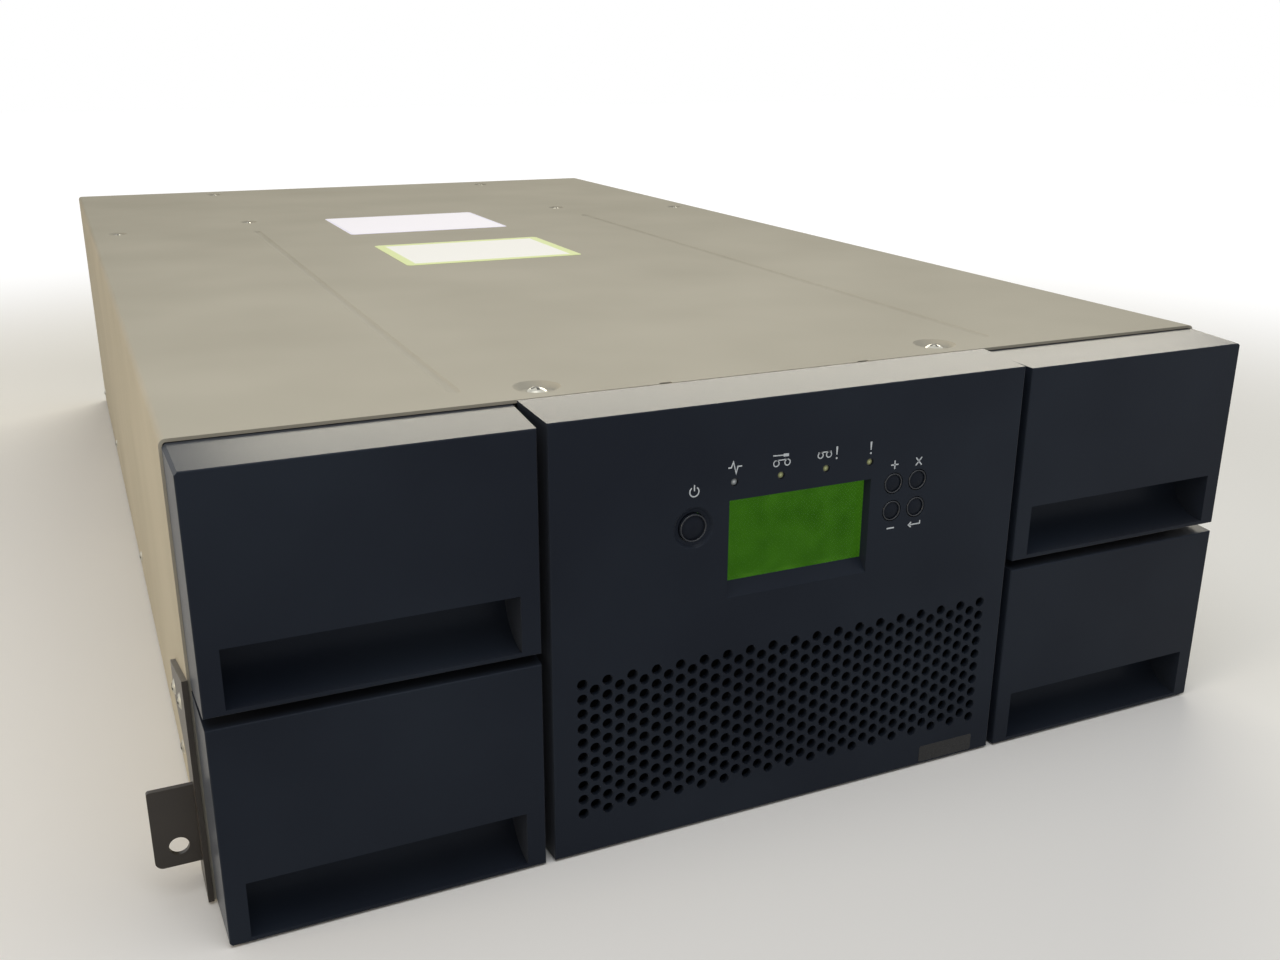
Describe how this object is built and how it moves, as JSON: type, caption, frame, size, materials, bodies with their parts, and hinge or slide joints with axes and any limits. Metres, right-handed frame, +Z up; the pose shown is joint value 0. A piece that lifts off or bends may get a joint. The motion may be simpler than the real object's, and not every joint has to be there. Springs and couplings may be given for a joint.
{
  "type": "data tape library",
  "caption": "Rack cabinet with pull-out tape magazines on both sides of an operator panel, and a robot that carries tapes to drives at the back.",
  "frame": {"origin": "middle of the underside, on the surface that the cabinet stands on", "axes": "+X to the right seen from the front, +Y towards the back, +Z up"},
  "size_m": [0.4826, 0.8, 0.175],
  "materials": {
    "cabinet_paint": "fine textured satin paint, dark grey-brown",
    "bezel_plastic": "fine grained charcoal moulding",
    "key_plastic": "satin charcoal moulding",
    "window_plastic": "clear window over a green display",
    "display_glass": "green liquid crystal display",
    "lamp_lens": "pale translucent light pipe",
    "board": "green circuit board",
    "frame_paint": "black painted steel sheet",
    "zinc_plate": "bright zinc plated steel sheet",
    "screw_zinc": "zinc plated screw",
    "bracket_paint": "satin black paint",
    "tray_plastic": "grey moulding",
    "cartridge_plastic": "black moulding",
    "rail_steel": "ground steel",
    "belt_rubber": "toothed rubber belt",
    "motor_black": "black lacquered motor case",
    "aluminium_part": "plain aluminium",
    "drive_case": "dark case",
    "handle_plastic": "black moulding",
    "thumb_blue": "blue moulded screw head",
    "switch_red": "red rocker"
  },
  "bodies": {
    "cabinet": {"base_pan": "cabinet_paint", "top_cover": "cabinet_paint", "front_frame": "frame_paint", "rear_panel": "zinc_plate", "cover_screws": "screw_zinc", "side_screws": "screw_zinc", "left_rack_bracket": "bracket_paint", "right_rack_bracket": "bracket_paint", "centre_bezel": "bezel_plastic", "display_window": "window_plastic", "display_module": "display_glass", "status_lamps": "lamp_lens", "panel_board": "board", "left_magazine_bay": "zinc_plate", "right_magazine_bay": "zinc_plate", "robot_rails": "rail_steel", "robot_belt": "belt_rubber", "belt_motor": "motor_black", "idler_bracket": "zinc_plate", "drive_cage": "zinc_plate", "lower_drive": "drive_case", "upper_drive": "drive_case", "lower_sled": "zinc_plate", "upper_sled": "zinc_plate", "sled_handles": "handle_plastic", "thumbscrews": "thumb_blue", "power_supply": "zinc_plate", "power_inlet": "handle_plastic", "power_fan_frame": "handle_plastic", "controller_module": "zinc_plate", "controller_sockets": "board"},
    "upper_left_magazine": {"upper_left_bezel": "bezel_plastic", "upper_left_tray": "tray_plastic", "upper_left_cartridges": "cartridge_plastic"},
    "lower_left_magazine": {"lower_left_bezel": "bezel_plastic", "lower_left_tray": "tray_plastic", "lower_left_cartridges": "cartridge_plastic"},
    "upper_right_magazine": {"upper_right_bezel": "bezel_plastic", "upper_right_tray": "tray_plastic", "upper_right_cartridges": "cartridge_plastic"},
    "lower_right_magazine": {"lower_right_bezel": "bezel_plastic", "lower_right_tray": "tray_plastic", "lower_right_cartridges": "cartridge_plastic"},
    "power_button": {"power_button": "key_plastic"},
    "plus_key": {"plus_key": "key_plastic"},
    "cancel_key": {"cancel_key": "key_plastic"},
    "minus_key": {"minus_key": "key_plastic"},
    "enter_key": {"enter_key": "key_plastic"},
    "drive_pulley": {"drive_pulley": "aluminium_part"},
    "idler_pulley": {"idler_pulley": "aluminium_part"},
    "carriage": {"carriage": "aluminium_part", "lift_columns": "rail_steel", "lift_motor": "motor_black"},
    "lift_screw": {"lift_screw": "rail_steel"},
    "elevator": {"elevator": "aluminium_part"},
    "turntable": {"turntable": "aluminium_part"},
    "gripper": {"gripper": "aluminium_part"},
    "power_switch": {"power_switch": "switch_red"},
    "power_fan": {"power_fan": "handle_plastic"}
  },
  "joints": [
    {"name": "upper_left_magazine_slide", "type": "slide", "parent": "cabinet", "child": "upper_left_magazine", "axis": [0, -1, 0], "range_m": [0, 0.46]},
    {"name": "lower_left_magazine_slide", "type": "slide", "parent": "cabinet", "child": "lower_left_magazine", "axis": [0, -1, 0], "range_m": [0, 0.46]},
    {"name": "upper_right_magazine_slide", "type": "slide", "parent": "cabinet", "child": "upper_right_magazine", "axis": [0, -1, 0], "range_m": [0, 0.46]},
    {"name": "lower_right_magazine_slide", "type": "slide", "parent": "cabinet", "child": "lower_right_magazine", "axis": [0, -1, 0], "range_m": [0, 0.46]},
    {"name": "power_button_press", "type": "slide", "parent": "cabinet", "child": "power_button", "axis": [0, 1, 0], "range_m": [0, 0.0012], "stiffness_N_per_m": 300},
    {"name": "plus_key_press", "type": "slide", "parent": "cabinet", "child": "plus_key", "axis": [0, 1, 0], "range_m": [0, 0.0012], "stiffness_N_per_m": 300},
    {"name": "cancel_key_press", "type": "slide", "parent": "cabinet", "child": "cancel_key", "axis": [0, 1, 0], "range_m": [0, 0.0012], "stiffness_N_per_m": 300},
    {"name": "minus_key_press", "type": "slide", "parent": "cabinet", "child": "minus_key", "axis": [0, 1, 0], "range_m": [0, 0.0012], "stiffness_N_per_m": 300},
    {"name": "enter_key_press", "type": "slide", "parent": "cabinet", "child": "enter_key", "axis": [0, 1, 0], "range_m": [0, 0.0012], "stiffness_N_per_m": 300},
    {"name": "carriage_travel", "type": "slide", "parent": "cabinet", "child": "carriage", "axis": [0, 1, 0], "range_m": [0, 0.318]},
    {"name": "drive_pulley_turn", "type": "hinge", "parent": "cabinet", "child": "drive_pulley", "pos_m": [-0.0985, 0.118, 0], "axis": [0, 0, 1], "range_deg": [0, 3323]},
    {"name": "idler_pulley_turn", "type": "hinge", "parent": "cabinet", "child": "idler_pulley", "pos_m": [-0.0985, -0.356, 0], "axis": [0, 0, 1], "range_deg": [0, 3323]},
    {"name": "elevator_lift", "type": "slide", "parent": "carriage", "child": "elevator", "axis": [0, 0, 1], "range_m": [0, 0.1364]},
    {"name": "lift_screw_turn", "type": "hinge", "parent": "carriage", "child": "lift_screw", "pos_m": [0.064, -0.341, 0], "axis": [0, 0, 1], "range_deg": [0, 2465]},
    {"name": "turntable_turn", "type": "hinge", "parent": "elevator", "child": "turntable", "pos_m": [0, -0.27, 0], "axis": [0, 0, 1], "range_deg": [0, 180]},
    {"name": "gripper_reach", "type": "slide", "parent": "turntable", "child": "gripper", "axis": [1, 0, 0], "range_m": [0, 0.057]},
    {"name": "power_switch_rock", "type": "hinge", "parent": "cabinet", "child": "power_switch", "pos_m": [-0.1115, 0.3835, 0.0595], "axis": [1, 0, 0], "range_deg": [0, 16]},
    {"name": "power_fan_spin", "type": "hinge", "parent": "cabinet", "child": "power_fan", "pos_m": [-0.1783, 0.385, 0.0445], "axis": [0, 1, 0], "continuous": true}
  ],
  "couplings": [
    {"joint": "drive_pulley_turn", "follows": "carriage_travel", "rad_per_m": 181.82},
    {"joint": "idler_pulley_turn", "follows": "carriage_travel", "rad_per_m": 181.82},
    {"joint": "lift_screw_turn", "follows": "elevator_lift", "rad_per_m": 314.16}
  ]
}
